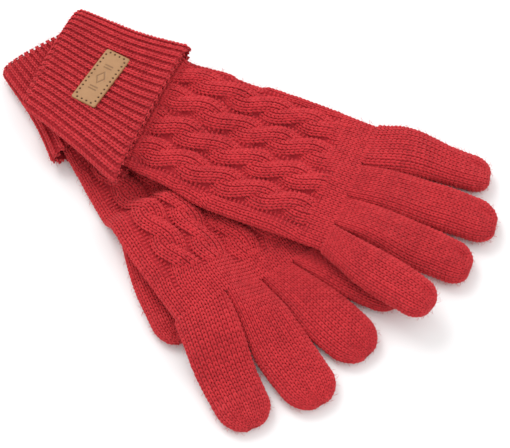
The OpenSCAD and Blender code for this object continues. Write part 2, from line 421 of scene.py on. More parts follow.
def maths(tree, operation, *inputs):
    return add(tree, "ShaderNodeMath", {"operation": operation}, dict(enumerate(inputs))).outputs[0]


def mixed(tree, share, first, second):
    """One colour turning into another as share goes from 0 to 1."""
    node = add(tree, "ShaderNodeMix", {"data_type": "RGBA"}, {"Factor": share, 6: first, 7: second})
    return node.outputs[2]


print("a mid grey in linear light:", [round(c, 3) for c in linear("#808080")])

# %% [markdown]
# ## Brushed wool yarn
# Woollen yarn is spun from short crimped fibres, so it scatters light at every angle and never shines in
# one spot: roughness is near 1, and a soft sheen stands for the fibres that catch the light at grazing
# angles. Wool's refractive index is about 1.55. Dye takes a little unevenly, so each stitch carries a
# shade of its own, and slow clouds of colour run over the whole glove. The plies of the yarn wind round
# each strand: the strand's own UV map puts a fine slanting ridge there, two plies to a strand.

# %% Wool materials


def wool(name, light, middle_tone, shadow):
    material = bpy.data.materials.new(name)
    material.use_nodes = True
    tree = material.node_tree
    tree.nodes.clear()
    out = add(tree, "ShaderNodeOutputMaterial")
    shader = add(tree, "ShaderNodeBsdfPrincipled", Roughness=0.92, IOR=1.55, Metallic=0.0,
                 Sheen_Weight=0.35, Sheen_Roughness=0.45, Sheen_Tint=linear("#ff9a96"),
                 Specular_IOR_Level=0.25)
    tree.links.new(shader.outputs[0], out.inputs["Surface"])

    place = add(tree, "ShaderNodeTexCoord")
    cloud = add(tree, "ShaderNodeTexNoise", Scale=45.0, Detail=3.0,
                inputs={"Vector": place.outputs["Object"]})
    fibre = add(tree, "ShaderNodeTexNoise", Scale=2600.0, Detail=2.0,
                inputs={"Vector": place.outputs["Object"]})
    shade = add(tree, "ShaderNodeAttribute", {"attribute_name": "shade"})
    tone = maths(tree, "MULTIPLY_ADD", cloud.outputs["Fac"], 0.5, shade.outputs["Fac"])
    grain = maths(tree, "MULTIPLY_ADD", fibre.outputs["Fac"], 0.55, tone)
    ramp = add(tree, "ShaderNodeValToRGB", inputs={"Fac": grain})
    ramp.color_ramp.elements[0].position = 0.25
    ramp.color_ramp.elements[0].color = linear(shadow)
    ramp.color_ramp.elements[1].position = 0.95
    ramp.color_ramp.elements[1].color = linear(light)
    middle = ramp.color_ramp.elements.new(0.62)
    middle.color = linear(middle_tone)
    tree.links.new(ramp.outputs["Color"], shader.inputs["Base Color"])

    strand_map = add(tree, "ShaderNodeUVMap", {"uv_map": "strand"})
    parts = add(tree, "ShaderNodeSeparateXYZ", inputs={0: strand_map.outputs[0]})
    wound = maths(tree, "MULTIPLY_ADD", parts.outputs[1], 1.6, parts.outputs[0])
    ridge = maths(tree, "SINE", maths(tree, "MULTIPLY", wound, 4 * math.pi))
    height = maths(tree, "MULTIPLY_ADD", ridge, 0.35, fibre.outputs["Fac"])
    bump = add(tree, "ShaderNodeBump", Strength=0.5, Distance=0.00015, inputs={"Height": height})
    tree.links.new(bump.outputs[0], shader.inputs["Normal"])
    return material


wool_knit = wool("brushed_wool_knit", "#cf343b", "#c12c34", "#a52029")
wool_rib = wool("brushed_wool_rib", "#cf373e", "#bf2c34", "#a01f28")
wool_touch = wool("conductive_wool_knit", "#d0393f", "#c02d35", "#a32129")
# The skin under the stitches gets a darker copy of the yarn: painted shade for the gaps between the stitches.
painted_shade_wool_back = wool("wool_behind_stitches", "#c02a33", "#ac222c", "#8c1a22")
print("yarns:", [yarn.name for yarn in (wool_knit, wool_rib, wool_touch, painted_shade_wool_back)])

# %% [markdown]
# ## The knitting tree
# Geometry Nodes put a stitch on every point. The tree sits on the plain skin of a piece. It takes the cloud
# of stitch points, turns a V or a bump at each one so that it lies on the cloth and points up its column,
# and sows hairs over the faces that show. Everything is made real at the end, because an export drops
# instances. The same tree serves all the pieces, through its named inputs.

# %% Build the tree


def knitting_tree():
    tree = bpy.data.node_groups.new("knitting", "GeometryNodeTree")
    face = tree.interface
    face.new_socket("Geometry", in_out="OUTPUT", socket_type="NodeSocketGeometry")
    ids = {}
    for label, kind in (("Skin", "Geometry"), ("Stitch points", "Object"), ("Knit stitch", "Object"),
                        ("Purl bump", "Object"), ("Hair", "Object"), ("Hairs per square metre", "Float"),
                        ("Hair length", "Float"), ("Seed", "Int"), ("Yarn", "Material"),
                        ("Skin yarn", "Material")):
        socket = face.new_socket(label, in_out="INPUT", socket_type="NodeSocket" + kind)
        ids[label] = socket.identifier
    source = add(tree, "NodeGroupInput")
    target = add(tree, "NodeGroupOutput")

    def take(label):
        return source.outputs[label]

    def attribute(label, data_type):
        return add(tree, "GeometryNodeInputNamedAttribute", {"data_type": data_type}, Name=label).outputs[0]

    points = add(tree, "GeometryNodeObjectInfo", inputs={"Object": take("Stitch points")})
    kind = attribute("kind", "INT")
    stand = add(tree, "FunctionNodeAlignRotationToVector", {"axis": "Z"},
                {"Vector": attribute("out", "FLOAT_VECTOR")})
    point_up = add(tree, "FunctionNodeAlignRotationToVector", {"axis": "Y", "pivot_axis": "Z"},
                   {"Rotation": stand.outputs[0], "Vector": attribute("along", "FLOAT_VECTOR")})
    layers = []
    for wanted, shape in ((KNIT, "Knit stitch"), (PURL, "Purl bump")):
        chosen = add(tree, "FunctionNodeCompare", {"data_type": "INT", "operation": "EQUAL"},
                     {2: kind, 3: wanted})
        model = add(tree, "GeometryNodeObjectInfo", inputs={"Object": take(shape)})
        copies = add(tree, "GeometryNodeInstanceOnPoints",
                     inputs={"Points": points.outputs["Geometry"], "Selection": chosen.outputs[0],
                            "Instance": model.outputs["Geometry"], "Rotation": point_up.outputs[0],
                            "Scale": attribute("size", "FLOAT_VECTOR")})
        layers.append(copies.outputs[0])

    sown = add(tree, "GeometryNodeDistributePointsOnFaces",
               inputs={"Mesh": take("Skin"), "Seed": take("Seed")})
    density = maths(tree, "MULTIPLY", attribute("outer", "FLOAT"), take("Hairs per square metre"))
    tree.links.new(density, sown.inputs["Density"])
    lift = add(tree, "ShaderNodeVectorMath", {"operation": "SCALE"},
               {0: sown.outputs["Normal"], "Scale": RELIEF * 0.7 * MM})
    raised = add(tree, "GeometryNodeSetPosition",
                 inputs={"Geometry": sown.outputs[0], "Offset": lift.outputs[0]})
    spin = add(tree, "FunctionNodeRandomValue", {"data_type": "FLOAT"},
               {"Seed": take("Seed"), 3: 2 * math.pi})
    spin_axis = add(tree, "ShaderNodeCombineXYZ", inputs={2: spin.outputs[1]})
    turn = add(tree, "FunctionNodeRotateRotation", {"rotation_space": "LOCAL"},
               {"Rotation": sown.outputs["Rotation"], "Rotate By": spin_axis.outputs[0]})
    length = add(tree, "FunctionNodeRandomValue", {"data_type": "FLOAT"},
                 {"Seed": take("Seed"), 2: 0.4, 3: 1.3})
    scale = maths(tree, "MULTIPLY", length.outputs[1], take("Hair length"))
    hair = add(tree, "GeometryNodeObjectInfo", inputs={"Object": take("Hair")})
    halo = add(tree, "GeometryNodeInstanceOnPoints",
               inputs={"Points": raised.outputs[0], "Instance": hair.outputs["Geometry"],
                      "Rotation": turn.outputs[0], "Scale": scale})
    layers.append(halo.outputs[0])

    worn = add(tree, "GeometryNodeJoinGeometry")
    for layer in layers:
        tree.links.new(layer, worn.inputs[0])
    real = add(tree, "GeometryNodeRealizeInstances", inputs={"Geometry": worn.outputs[0]})
    yarn = add(tree, "GeometryNodeSetMaterial",
               inputs={"Geometry": real.outputs[0], "Material": take("Yarn")})
    # The skin gets the darker yarn, which is painted shade for the gaps between the stitches.
    backing = add(tree, "GeometryNodeSetMaterial",
                  inputs={"Geometry": take("Skin"), "Material": take("Skin yarn")})
    whole = add(tree, "GeometryNodeJoinGeometry")
    tree.links.new(yarn.outputs[0], whole.inputs[0])
    tree.links.new(backing.outputs[0], whole.inputs[0])
    tree.links.new(whole.outputs[0], target.inputs[0])
    return tree, ids


knitting, knitting_ids = knitting_tree()
print("knitting tree has", len(knitting.nodes), "nodes")

# %% [markdown]
# ## Knit one piece
# The function below carries out the tree for one piece and turns the result into a plain mesh. The stitch
# arrays become a mesh of loose points whose attributes the tree reads. A little chance goes into the size
# and lean of each stitch, because hand-fed yarn is never even. Fuzz is sown at 0.22 hairs to a square
# millimetre; real brushed wool has more, but finer ones than a picture of this size can show. The backs of
# the hands are the largest pieces, so theirs is a fifth thinner, which keeps them light enough to use.

# %% From arrays to a knitted piece
HAIRS_PER_M2 = 0.22 / MM / MM
HAIR_LENGTH = 2.2 * MM
BACK_SHARE = 0.8
UNEVEN = 0.05
scene = bpy.context.scene
piece_count = 0


def points_object(g, stitches):
    count = len(stitches["kind"])
    mesh = bpy.data.meshes.new("stitch_points")
    mesh.from_pydata([tuple(p) for p in to_row(g, stitches["at"])], [], [])
    wobble = chance.normal(0, 1, (count, 3))
    along = unit(turn_only(g, stitches["along"]) + UNEVEN * wobble)
    size = stitches["size"] * MM * (1 + UNEVEN * chance.normal(0, 1, (count, 1)))
    values = {"along": ("FLOAT_VECTOR", "vector", along),
              "out": ("FLOAT_VECTOR", "vector", turn_only(g, stitches["out"])),
              "size": ("FLOAT_VECTOR", "vector", size),
              "shade": ("FLOAT", "value", chance.uniform(0.0, 0.3, count)),
              "kind": ("INT", "value", stitches["kind"])}
    for label, (data_type, field, data) in values.items():
        dtype = np.int32 if data_type == "INT" else np.float32
        attribute = mesh.attributes.new(label, data_type, "POINT")
        attribute.data.foreach_set(field, np.ascontiguousarray(data, dtype).ravel())
    cloud = bpy.data.objects.new("stitch_points", mesh)
    scene.collection.objects.link(cloud)
    return cloud


def knit(name, g, skin, stitches, yarn, hairs=HAIRS_PER_M2):
    global piece_count
    piece_count += 1
    base = bpy.data.objects.new(name + "_skin", skin)
    scene.collection.objects.link(base)
    cloud = points_object(g, stitches)
    modifier = base.modifiers.new("knitting", "NODES")
    modifier.node_group = knitting
    inputs = {"Stitch points": cloud, "Knit stitch": knit_v, "Purl bump": purl_bump, "Hair": wool_hair,
              "Hairs per square metre": hairs, "Hair length": HAIR_LENGTH, "Seed": piece_count,
              "Yarn": yarn, "Skin yarn": painted_shade_wool_back}
    for label, value in inputs.items():
        modifier[knitting_ids[label]] = value
    depsgraph = bpy.context.evaluated_depsgraph_get()
    mesh = bpy.data.meshes.new_from_object(base.evaluated_get(depsgraph))
    mesh.name = name
    piece = bpy.data.objects.new(name, mesh)
    scene.collection.objects.link(piece)
    for helper in (base, cloud):
        data = helper.data
        bpy.data.objects.remove(helper)
        bpy.data.meshes.remove(data)
    triangles = sum(len(p.vertices) - 2 for p in mesh.polygons)
    print(f"{name}: {len(stitches['kind'])} stitches, {triangles} triangles")
    return piece


# %% [markdown]
# ## Cables
# A rope cable is two strands of three columns each that change places every few rounds, always the same one
# in front. Seen from above, a strand's middle swings from side to side as its height rises and falls a
# quarter turn behind, which is a helix pressed flat. One rule gives each strand's swing and height. It
# serves twice: it raises the skin, and it lays the stitches along the strands.

# %% Rope rules
ROPES = 4
ROPE_PITCH = 16.2
ROPE_REACH = 7.3
CROSSING = 19.5
SWING = 3.0
RISE = 1.1
STRAND_W = 4.6
STRAND_H = 2.5
DITCH = -0.9
ROPE_START = 1.0
ROPE_STRIP = 29.6
ROPE_LAYOUT = {"upper": {"first": 25.8, "step": -ROPE_PITCH, "turn": 1, "ends": (89, 93, 97, 97)},
               "lower": {"first": -28.3, "step": ROPE_PITCH, "turn": -1, "ends": (95, 95, 91, 88)}}
ROPE_PHASE = (0.0, 9.0, 4.0, 13.0)


def rope_y(g, rope):
    return ROPE_LAYOUT[g]["first"] + ROPE_LAYOUT[g]["step"] * rope


def rope_strength(g, rope, x):
    return ease((x - ROPE_START) / 9) * (1 - ease((x - ROPE_LAYOUT[g]["ends"][rope] + 7) / 9))


def strand_at(g, rope, which, x):
    """Sideways swing and height of a strand's middle at x."""
    turn = math.pi * ((x - ROPE_PHASE[rope]) / CROSSING + which)
    return -SWING * ROPE_LAYOUT[g]["turn"] * np.cos(turn), RISE * np.sin(turn)


def strand_dome(rise, reach):
    return rise + STRAND_H * np.sqrt(np.clip(1 - reach * reach, 0, 1)) - 1.2


def rope_height(g, x, y, skip=None):
    """Height of the cabled back above its plain surface, over all strands but skip."""
    height = np.zeros_like(x)
    for rope in range(ROPES):
        offset = y - rope_y(g, rope)
        band = 1 - ease((np.abs(offset) - ROPE_REACH - 1.2) / 1.4)
        top = np.full_like(x, DITCH)
        for which in (0, 1):
            if (rope, which) != skip:
                swing, rise = strand_at(g, rope, which, x)
                reach = (offset - swing) / STRAND_W
                top = np.where(np.abs(reach) < 1, np.maximum(top, strand_dome(rise, reach)), top)
        raised = top * band * rope_strength(g, rope, x)
        height = np.where(np.abs(raised) > np.abs(height), raised, height)
    return height


print(ROPES, "cables on each hand, crossed every", CROSSING, "mm")

# %% [markdown]
# ## The hand
# The hand's ring follows the drape rule underneath. Above, the cables are added to it. The skin has over two
# points to a stitch, so that the ropes stay round, and the lining, which no one sees, has few rounds.

# %% Hand rings
WRIST_TAPER = 9.0
HAND_TUCK = 4.0
SKIN_POINT = 1.1
SKIN_ROUNDS = 92
LINING_ROUNDS = 24
STRIP_W = 3.4
STRIP_END = 96


def half_hand(g, x):
    return GLOVES[g]["hand_w"] / 2 - WRIST_TAPER / 2 * (1 - ease((x + 5) / 50))


def hand_ring(g, inset, cabled):
    def ring(x):
        theta = DENSE
        y = GLOVES[g]["hand_y"] + (half_hand(g, x) - inset) * across(theta)
        xs = np.full_like(y, x)
        low = rest_height(g, xs, y) - gusset_drop(g, xs, y) + inset
        high = rest_height(g, xs, y) + HAND_H - inset
        z = mix(low, high, up(theta))
        if cabled:
            z = z + rope_height(g, xs, y) * ease((up(theta) - 0.5) / 0.3)
        return np.stack([xs, y, z], axis=1)
    return ring


def top_of_hand(g, x, y):
    """Height of the plain back of the hand at a point."""
    share = np.clip(np.abs((y - GLOVES[g]["hand_y"]) / (half_hand(g, x) - RELIEF)), 0, 1)
    theta = np.arccos(share ** (1 / 0.65))
    low = rest_height(g, x, y) + RELIEF
    high = rest_height(g, x, y) + HAND_H - RELIEF
    return mix(low, high, up(theta))


def rope_stitches(g, rope):
    """Four columns of stitches along each strand of one cable, without those that lie hidden."""
    x = np.arange(ROPE_START + 2, ROPE_LAYOUT[g]["ends"][rope] + 2, COURSE)
    strength = rope_strength(g, rope, x)
    sets = []
    for which in (0, 1):
        for lean in (-0.95, -0.32, 0.32, 0.95):
            swing, rise = strand_at(g, rope, which, x)
            y = rope_y(g, rope) + swing + STRAND_W * math.sin(lean)
            dome = strand_dome(rise, math.sin(lean)) * strength
            z = top_of_hand(g, x, y) + dome
            seen = dome > rope_height(g, x, y, skip=(rope, which)) - 0.35
            dz_dy = top_of_hand(g, x, y + 0.5) - top_of_hand(g, x, y - 0.5)
            step = np.stack([np.gradient(x), np.gradient(y), np.gradient(z)], axis=1)
            along = unit(step)
            tilt = math.sin(lean) * STRAND_H / STRAND_W
            out = np.stack([0 * x, tilt - dz_dy, math.cos(lean) + 0 * x], axis=1)
            out = unit(out - along * np.sum(out * along, axis=1, keepdims=True))
            length = np.linalg.norm(step, axis=1)
            size = np.stack([np.full_like(x, WALE), length, np.full_like(x, WALE)], axis=1)
            whole = {"at": soften(np.stack([x, y, z], axis=1)), "along": along, "out": out, "size": size,
                     "kind": np.full(len(x), KNIT)}
            sets.append(keep(whole, seen & (strength > 0.12)))
    return join_stitches(*sets)


def hand_stitches(g):
    """The hand's stitches: (back, palm). Under the ropes the plain ones are left out."""
    start = -CUFF_SLIP[g] - HAND_TUCK
    rounds = int((HAND_LEN - start) / COURSE)
    columns = int(2 * (GLOVES[g]["hand_w"] + HAND_H) / WALE)
    stops = np.linspace(start, HAND_LEN + 0.6, rounds + 1)
    plain = grid_stitches(sweep(hand_ring(g, RELIEF, True), stops, columns))
    x, y = plain["at"][:, 0], plain["at"][:, 1]
    on_back = plain["out"][:, 2] > 0.05
    roped = np.zeros(len(x), bool)
    purled = np.zeros(len(x), bool)
    for rope in range(ROPES):
        offset = np.abs(y - rope_y(g, rope))
        strength = rope_strength(g, rope, x)
        roped |= (offset < ROPE_REACH - 0.9) & (strength > 0.25)
        purled |= (offset >= ROPE_REACH - 0.9) & (offset < ROPE_REACH + 2.2) & (strength > 0.1)
    side = ROPE_LAYOUT[g]["turn"] * (y - GLOVES[g]["hand_y"])
    strip = (side < -ROPE_STRIP) & (side > -ROPE_STRIP - STRIP_W) & (x < STRIP_END)
    plain["kind"] = np.where(on_back & (purled | strip), PURL, plain["kind"])
    back = keep(plain, on_back & ~roped)
    palm = keep(plain, ~on_back)
    ropes = [rope_stitches(g, r) for r in range(ROPES)]
    return join_stitches(back, *ropes), palm


print("the hand widens from", 2 * half_hand("upper", -5), "to", 2 * half_hand("upper", 60), "mm")

# %% [markdown]
# ## Fingers and thumbs
# A digit widens from its root, stays even, and closes in a rounded end. At the root it has the flat top of
# the hand that it grows from, and it turns round within two centimetres, so the grooves between fingers
# start from nothing. At the very tip the last stitches are gathered on one thread, which pulls in a dimple.

# %% Digit rings
DIGITS = ["index", "middle", "ring", "little"]
FINGER_H = {"upper": 12.0, "lower": 9.4}
LENGTHS = {"upper": [64, 75.5, 71, 63.6], "lower": [64.6, 71.5, 63.8, 53]}
TURNS = {"upper": [11.8, 8.2, 0.6, -15], "lower": [9, 1, -12.4, -28.6]}
WIDTHS = {"upper": [21, 25, 24.5, 22], "lower": [27.5, 29, 28, 22.5]}
BOWS = {"upper": [2.4, 2.8, 1.5, 0], "lower": [0, 0, 0, 0]}
THUMB = {"upper": (50, 20, 1), "lower": (50, 25, 12)}
THUMB_LEN = 68.0
THUMB_W = 27.0
TIP_LEN = 20.0
DIMPLE = 2.6
CREASE_SIDE = 0.12
SNUG = 0.9


def finger(g, k):
    glove = GLOVES[g]
    y = glove["hand_y"] + glove["hand_w"] * (0.5 - sum(ROOT_SHARES[:k]) - ROOT_SHARES[k] / 2)
    return {"g": g, "x": HAND_LEN, "y": y, "turn": math.radians(TURNS[g][k]), "bow": BOWS[g][k],
            "len": LENGTHS[g][k], "root_w": glove["hand_w"] * ROOT_SHARES[k] + 1.3, "w": WIDTHS[g][k],
            "root_h": HAND_H, "h": FINGER_H[g], "flat": False, "edge": {0: 1, 3: -1}.get(k, 0)}


def thumb(g):
    x, y, turn = THUMB[g]
    return {"g": g, "x": x, "y": y, "turn": math.radians(turn), "bow": 0, "len": THUMB_LEN, "root_w": 23.0,
            "w": THUMB_W, "root_h": THUMB_H, "h": THUMB_H, "flat": True, "edge": 0}


def digit_ring(d, inset):
    g, r = d["g"], d["w"] / 2

    def ring(s):
        q = np.clip((s - (d["len"] - r)) / r, 0, 1)
        closing = math.sqrt(1 - q * q)
        pull = DIMPLE * float(ease((math.degrees(math.asin(q)) - 60) / 30))
        reach = s - pull - inset * q
        plump = SNUG * math.sin(math.pi * min(1, s / (0.8 * d["len"])))
        half = (mix(d["root_w"], d["w"], ease(s / (0.68 * d["len"]))) / 2 + plump) * closing
        high = mix(d["root_h"], d["h"], ease(s / (0.4 * d["len"]))) * mix(1, closing, 0.72)
        half = max(0.4, half - inset)
        high = max(0.7, high - 2 * inset)
        square = ease(s / 25)
        on_edge = np.cos(DENSE) * d["edge"] > 0
        boxy = np.where(on_edge, 0.5 + 0.5 * ease(s / 24), ease((s + 1) / 24))
        side = half * across(DENSE, np.where(on_edge, 0.65, mix(0.2, 0.75, boxy)))
        x = d["x"] + reach * math.cos(d["turn"]) - side * math.sin(d["turn"]) * square
        bow = d["bow"] * math.sin(math.pi * s / d["len"]) ** 2
        y = d["y"] + bow + reach * math.sin(d["turn"]) + side * mix(1, math.cos(d["turn"]), square)
        cx = np.full_like(x, d["x"] + s * math.cos(d["turn"]))
        cy = np.full_like(x, d["y"] + bow + s * math.sin(d["turn"]))
        base = 0 if d["flat"] else mix(rest_height(g, x, y), rest_height(g, cx, cy), square)
        centre_lift = (1 - closing) * (d["h"] * 0.72 - 1.4) * 0.4
        share = up(DENSE, mix(0.3, 0.85, boxy), mix(0.52, 0.53, boxy))
        crease = np.exp(-(((side - CREASE_SIDE * d["w"]) / 1.5) ** 2))
        crease = 1.3 * crease * ease((s - (d["len"] - 15)) / 6) * (1 - q ** 3) * ease((share - 0.5) / 0.4)
        z = base + inset + centre_lift + high * share - crease
        return np.stack([x, y, z], axis=1)
    return ring


def digit_stops(d, step, from_s=0.0, to_s=None):
    """Places of the rounds: evenly along the straight part, then evenly round the tip."""
    straight = d["len"] - d["w"] / 2
    if to_s is not None:
        return np.linspace(from_s, to_s, int(round((to_s - from_s) / step)) + 1)
    body = np.linspace(from_s, straight, max(2, int((straight - from_s) / step) + 1))
    bend = np.linspace(0, math.pi / 2, int(d["w"] / 2 * math.pi / 2 / step) + 2)[1:]
    return np.concatenate([body, straight + d["w"] / 2 * np.sin(bend)])


def digit_stitches(d, stops):
    """Rounds of stitches; towards the tip there are three, two, then one left for every four."""
    ring = digit_ring(d, RELIEF)
    columns = int(2 * (d["w"] + d["h"] * 0.6) / WALE)
    rounds = []
    for near, far in zip(stops[:-1], stops[1:]):
        q = np.clip(((near + far) / 2 - d["len"] + d["w"] / 2) / (d["w"] / 2), 0, 1)
        closing = math.sqrt(1 - q * q)
        left = np.searchsorted([0.3, 0.52, 0.8], closing) + 1
        n = max(5, round(columns * left / 4))
        rounds.append(grid_stitches(sweep(ring, [near, far], n)))
    return join_stitches(*rounds)


def digit_piece(name, d, yarn, from_s=0.0, to_s=None):
    columns = int(2 * (d["w"] + d["h"] * 0.6) / WALE)
    fine = digit_stops(d, COURSE * 0.6, from_s, to_s)
    outside = sweep(digit_ring(d, RELIEF), fine, columns * 2)
    inside = sweep(digit_ring(d, RELIEF + SKIN_T), fine, columns * 2)[::-1]
    chain = np.concatenate([inside, outside])
    outer = np.arange(len(chain)) >= len(inside)
    skin = skin_mesh(name, d["g"], chain, to_s is not None, outer)
    return knit(name, d["g"], skin, digit_stitches(d, digit_stops(d, COURSE, from_s, to_s)), yarn)


print("the upper middle finger has", len(digit_stops(finger("upper", 1), COURSE)) - 1, "rounds")

# %% [markdown]
# ## Cuffs
# The cuff is knitted in rib: one column stands up, the next sinks back, all the way round. It is twice as
# long as it looks, because it is turned back over itself. Its skin is drawn as one path: under the free
# edge, round it, back along the outside to the fold, round the fold, and a little way inside.

# %% Cuff rings and ribs
CUFF_LEN = 62.0
FOLD_W = {"upper": 67.0, "lower": 61.5}
FREE_W = 84.0
CUFF_H = HAND_H + 2 * (WALL + 0.2)
CUFF_FOLD_Y = {"upper": 9.0, "lower": 6.7}
CUFF_FREE_Y = {"upper": -2.5, "lower": -2.0}
RIBS = 38
RIB_DEPTH = 0.5
RIB_STANDING = 0.62
FOLD_ROLL = 2.2
FLARE = 2.6


def cuff_ring(g, t, inset, dx=0.0, flare=0.0):
    theta = DENSE
    mid = mix(CUFF_FOLD_Y[g], CUFF_FREE_Y[g], t)
    half = mix(FOLD_W[g], FREE_W, t) / 2
    base = OVER_CUFF if g == "upper" else 0.0
    x = -CUFF_SLIP[g] - CUFF_LEN * (1 - t) + 1 + dx
    y = mid + (half - inset + flare) * across(theta)
    z = base + inset + (CUFF_H - 2 * inset) * up(theta) + flare * ease((up(theta) - 0.5) / 0.5)
    return np.stack([np.full_like(y, x), y, z], axis=1)


def rib_wave(shares):
    """1 on the middle of a standing rib and -1 in the middle of a sunk one, at shares of the way round."""
    return np.cos(2 * math.pi * (shares * RIBS - RIB_STANDING / 2))


def ribbed_skin(rings, n):
    shares = np.arange(n) / n
    grid = np.array([ring_at(ring, shares) for ring in rings])
    round_way = np.roll(grid, -1, axis=1) - np.roll(grid, 1, axis=1)
    out = -unit(np.cross(round_way, np.gradient(grid, axis=0)))
    return grid + out * (RIB_DEPTH * rib_wave(shares))[None, :, None]


def rib_stitches(rings):
    """Vs on the standing columns and bumps in the sunk ones."""
    edges = np.stack([np.arange(RIBS), np.arange(RIBS) + RIB_STANDING], axis=1).ravel() / RIBS
    grid = np.array([ring_at(ring, edges) for ring in rings])
    cells = grid_stitches(grid, flip=True)
    standing = np.tile(np.arange(2 * RIBS) % 2 == 0, len(rings) - 1)
    cells["kind"] = np.where(standing, KNIT, PURL)
    cells["at"] = cells["at"] + cells["out"] * np.where(standing, RIB_DEPTH, -RIB_DEPTH)[:, None]
    return cells


def cuff_path():
    """(share of length, inset, shift along x, flare) from under the free edge to inside the fold."""
    inner = 2 * WALL + 0.2
    under = [(t, WALL + 0.3, 0, FLARE * t ** 4) for t in (0.5, 0.75, 0.95)]
    edge = [(1, WALL, 0.5, FLARE), (1, 1.7, 1.1, FLARE), (1, RELIEF, 0.5, FLARE)]
    outside = [(t, RELIEF, 0, FLARE * t ** 4) for t in np.linspace(0.975, 0.04, int(CUFF_LEN / COURSE))]
    roll = [(0, mix(RELIEF, inner, (1 - math.cos(a)) / 2), 3.1 - FOLD_ROLL * math.sin(a) * 1.4, 0)
            for a in np.linspace(0.2, math.pi - 0.3, 6)]
    inside = [(t, inner, 0, 0) for t in np.linspace(0.06, 0.2, 5)]
    return under, edge, outside, roll, inside


def cuff_piece(g):
    under, edge, outside, roll, inside = cuff_path()
    hidden = [(t, WALL + 1.2, 0, 0) for t in (0.22, 0.35)]
    path = under + edge + outside + roll + inside + hidden
    shown = [len(under) <= k < len(path) - len(hidden) for k in range(len(path))]
    fine = ribbed_skin([cuff_ring(g, *stop) for stop in path], RIBS * 6)
    skin = skin_mesh(f"{g}_turned_cuff_knit", g, fine, True, shown)
    seen = edge + outside + roll + inside
    return skin, rib_stitches([cuff_ring(g, *stop) for stop in seen])


def wrist_rib_piece(g):
    """The inner layer, seen only down the mouth of the cuff."""
    inner = 2 * WALL + 0.2
    stops = np.linspace(0.2, 0.86, 30)
    face = [cuff_ring(g, t, inner) for t in stops]
    back = [cuff_ring(g, t, inner - 1.6) for t in stops[::-1]]
    skin = skin_mesh(f"{g}_wrist_rib_knit", g, ribbed_skin(face + back, RIBS * 4), True, [False] * 60)
    return skin, rib_stitches(face[:16])


print("a cuff has", RIBS, "ribs and", len(cuff_path()[2]), "rounds down its outside")

# %% [markdown]
# ## The leather label
# The label is a strip of vegetable-tanned leather sewn on across the ribs. It is drawn as a fine grid whose
# height is worked out point by point: a soft rounded edge, a ring of needle holes, and a plain pressed mark
# of a diamond between two bars. A number kept on each point says how deep in a hole it is, and is smaller in
# the pressed mark; the leather is darkened by it, as painted shade in the holes and a darker pressed mark.

# %% Leather sheet and thread
LABEL_AT = (-29.2, 2.7)
LABEL_TURN = math.radians(-7)
LABEL_SIZE = (14.0, 34.0)
LABEL_T = 1.3
LABEL_Z = OVER_CUFF + CUFF_H
CORNER = 1.2
HOLE_IN = 1.5
HOLE_STEP = 2.7
HOLE_R = 0.42


def label_holes():
    """(u, v, runs along v) of each needle hole."""
    wide, tall = LABEL_SIZE[0] / 2 - HOLE_IN, LABEL_SIZE[1] / 2 - HOLE_IN
    long_n = int(2 * tall / HOLE_STEP)
    short_n = int(2 * wide / HOLE_STEP)
    along_v = [(i - (long_n - 1) / 2) * HOLE_STEP for i in range(long_n)]
    along_u = [(i - (short_n - 1) / 2) * HOLE_STEP for i in range(short_n)]
    holes = [(side * wide, v, True) for side in (-1, 1) for v in along_v]
    holes += [(u, side * tall, False) for side in (-1, 1) for u in along_u]
    return holes


def on_label(points):
    """Label points (u along the glove, v across it, height) in the upper glove's frame."""
    c, s = math.cos(LABEL_TURN), math.sin(LABEL_TURN)
    u, v, z = points[:, 0], points[:, 1], points[:, 2]
    return np.stack([LABEL_AT[0] + u * c - v * s, LABEL_AT[1] + u * s + v * c, LABEL_Z + z], axis=1)


